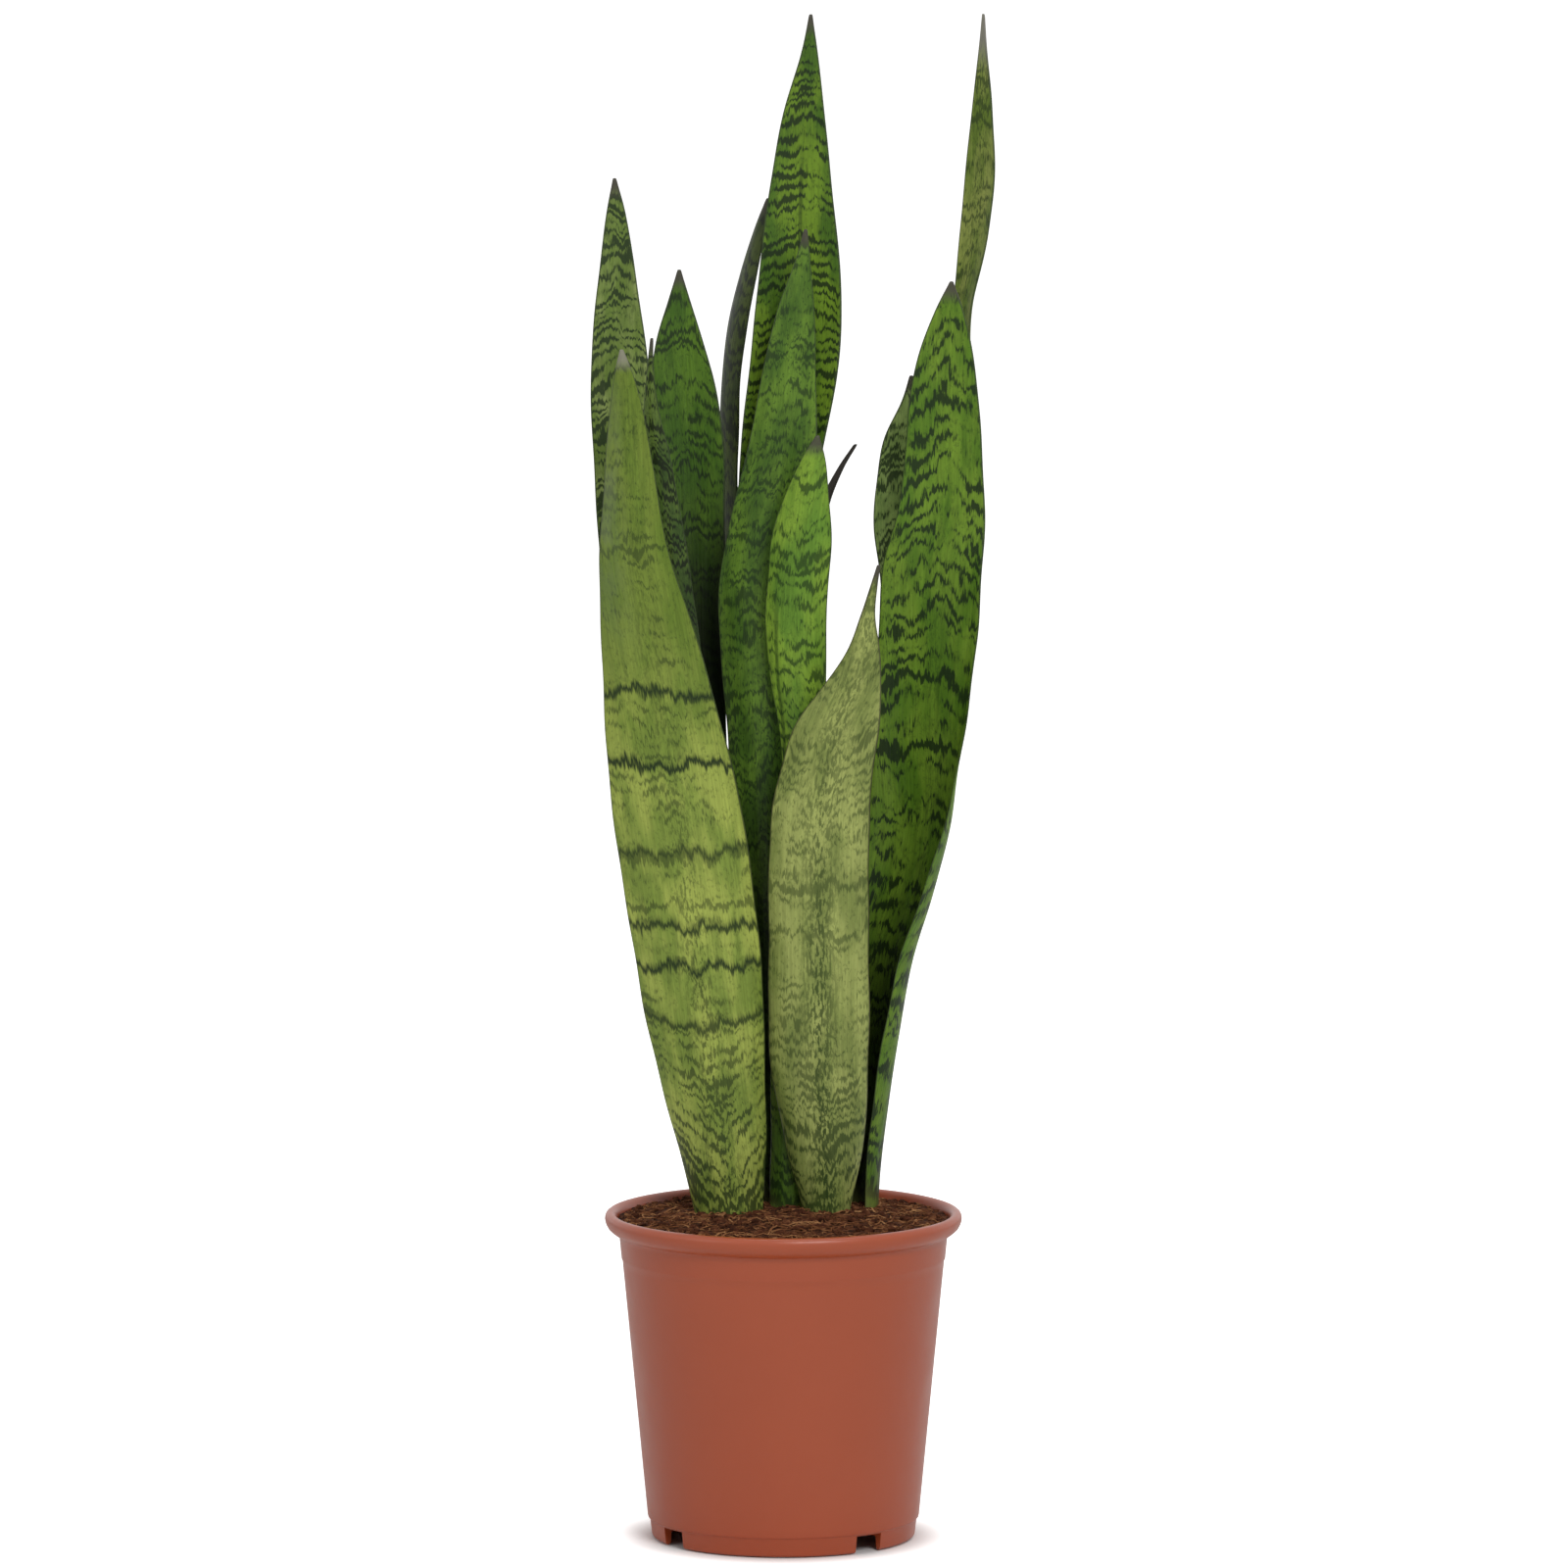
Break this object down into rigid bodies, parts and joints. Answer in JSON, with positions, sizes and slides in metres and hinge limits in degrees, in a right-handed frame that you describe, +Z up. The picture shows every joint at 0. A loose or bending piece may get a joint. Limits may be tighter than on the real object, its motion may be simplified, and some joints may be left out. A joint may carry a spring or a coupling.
{
  "type": "potted snake plant",
  "caption": "Snake plant with upright banded sword-shaped leaves growing from soil in a round tapered plastic nursery pot with a rolled rim.",
  "frame": {"origin": "centre of the underside of the pot, on the surface it stands on", "axes": "+Z up, the front of the plant as pictured towards -Y, +X to its right"},
  "size_m": [0.1926, 0.17, 0.724],
  "materials": {
    "pot_plastic": "satin moulded plastic, terracotta coloured",
    "potting_soil": "loose fibrous peat and coir",
    "rhizome": "waxy skin",
    "leaf_light": "waxy leaf, light green with dark bands",
    "leaf": "waxy leaf, green with dark bands"
  },
  "bodies": {
    "root": {"pot": "pot_plastic", "soil": "potting_soil", "rhizome_and_roots": "rhizome", "leaf_front_left": "leaf_light", "leaf_front_right": "leaf_light", "leaf_right_tall": "leaf_light", "leaf_left_tall": "leaf", "leaf_left_back": "leaf", "leaf_left_inner": "leaf", "leaf_centre_side": "leaf", "leaf_centre_tall": "leaf", "leaf_centre_middle": "leaf", "leaf_centre_short": "leaf", "leaf_centre_slender": "leaf", "leaf_right_broad": "leaf", "leaf_right_back": "leaf"}
  },
  "joints": []
}
